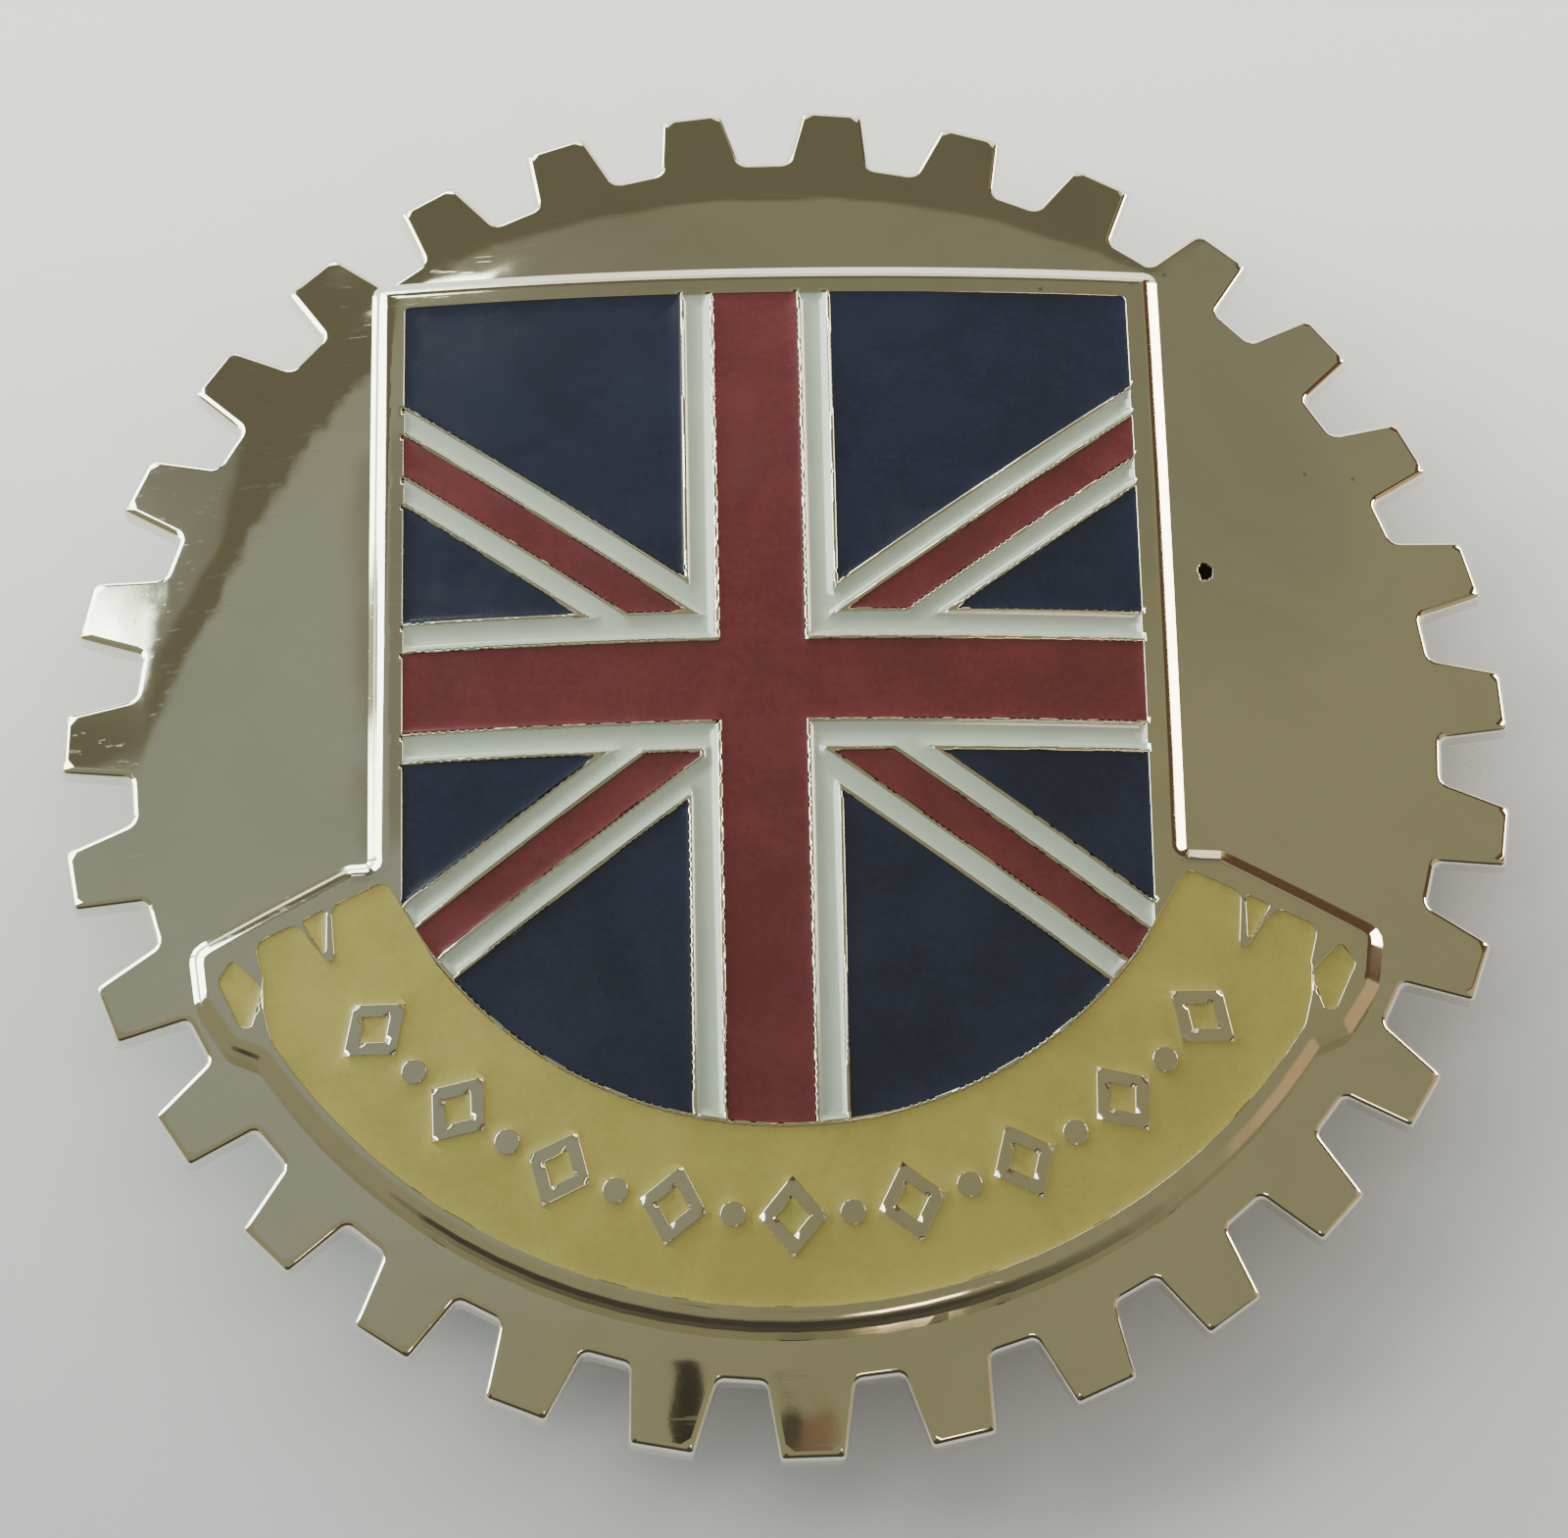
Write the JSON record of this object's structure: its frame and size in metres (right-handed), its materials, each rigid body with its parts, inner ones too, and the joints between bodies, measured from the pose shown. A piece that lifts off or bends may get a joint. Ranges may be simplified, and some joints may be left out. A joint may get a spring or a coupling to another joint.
{
  "type": "grille badge",
  "caption": "Round toothed enamel badge for a radiator grille, a flag shield over a scroll, with screws and a clamp bar behind it.",
  "frame": {"origin": "on the surface that the screw heads stand on, under the middle of the badge's box, which is the middle of the toothed plate", "axes": "+Z out of the badge's face, +Y to the top of the shield, +X to the right seen from the front"},
  "size_m": [0.09, 0.0899, 0.015],
  "materials": {
    "plate_chrome": "polished chrome plate on brass, lightly worn",
    "casting_chrome": "worn chrome plate on brass",
    "red_enamel": "gloss stove enamel",
    "white_enamel": "gloss stove enamel",
    "navy_enamel": "gloss stove enamel",
    "cream_enamel": "satin stove enamel",
    "pillar_brass": "turned brass, dull",
    "fixing_steel": "zinc plated steel"
  },
  "bodies": {
    "badge": {"cog_plate": "plate_chrome", "emblem_casting": "casting_chrome", "red_cross": "red_enamel", "red_diagonal_top_left": "red_enamel", "red_diagonal_top_right": "red_enamel", "red_diagonal_bottom_left": "red_enamel", "red_diagonal_bottom_right": "red_enamel", "white_border_top_left": "white_enamel", "white_border_top_right": "white_enamel", "white_border_bottom_left": "white_enamel", "white_border_bottom_right": "white_enamel", "navy_top_left_upper": "navy_enamel", "navy_top_left_lower": "navy_enamel", "navy_top_right_upper": "navy_enamel", "navy_top_right_lower": "navy_enamel", "navy_bottom_left_upper": "navy_enamel", "navy_bottom_left_lower": "navy_enamel", "navy_bottom_right_upper": "navy_enamel", "navy_bottom_right_lower": "navy_enamel", "scroll_enamel": "cream_enamel", "notch_enamel_left": "cream_enamel", "notch_enamel_right": "cream_enamel", "curl_enamel_left": "cream_enamel", "curl_enamel_right": "cream_enamel", "pillar_left": "pillar_brass", "pillar_right": "pillar_brass"},
    "bar": {"clamp_bar": "fixing_steel", "flat_washer_left": "fixing_steel", "flat_washer_right": "fixing_steel", "spring_washer_left": "fixing_steel", "spring_washer_right": "fixing_steel"},
    "screw_left": {"screw_left": "fixing_steel"},
    "screw_right": {"screw_right": "fixing_steel"}
  },
  "joints": [
    {"name": "bar_slide", "type": "slide", "parent": "badge", "child": "bar", "axis": [0, 0, -1], "range_m": [0, 0.0049]},
    {"name": "screw_left_turn", "type": "hinge", "parent": "bar", "child": "screw_left", "pos_m": [-0.015, -0.0015, 0], "axis": [0, 0, -1], "range_deg": [0, 2520]},
    {"name": "screw_right_turn", "type": "hinge", "parent": "bar", "child": "screw_right", "pos_m": [0.015, -0.0015, 0], "axis": [0, 0, -1], "range_deg": [0, 2520]}
  ],
  "couplings": [
    {"joint": "screw_left_turn", "follows": "bar_slide", "rad_per_m": 8976},
    {"joint": "screw_right_turn", "follows": "bar_slide", "rad_per_m": 8976}
  ]
}
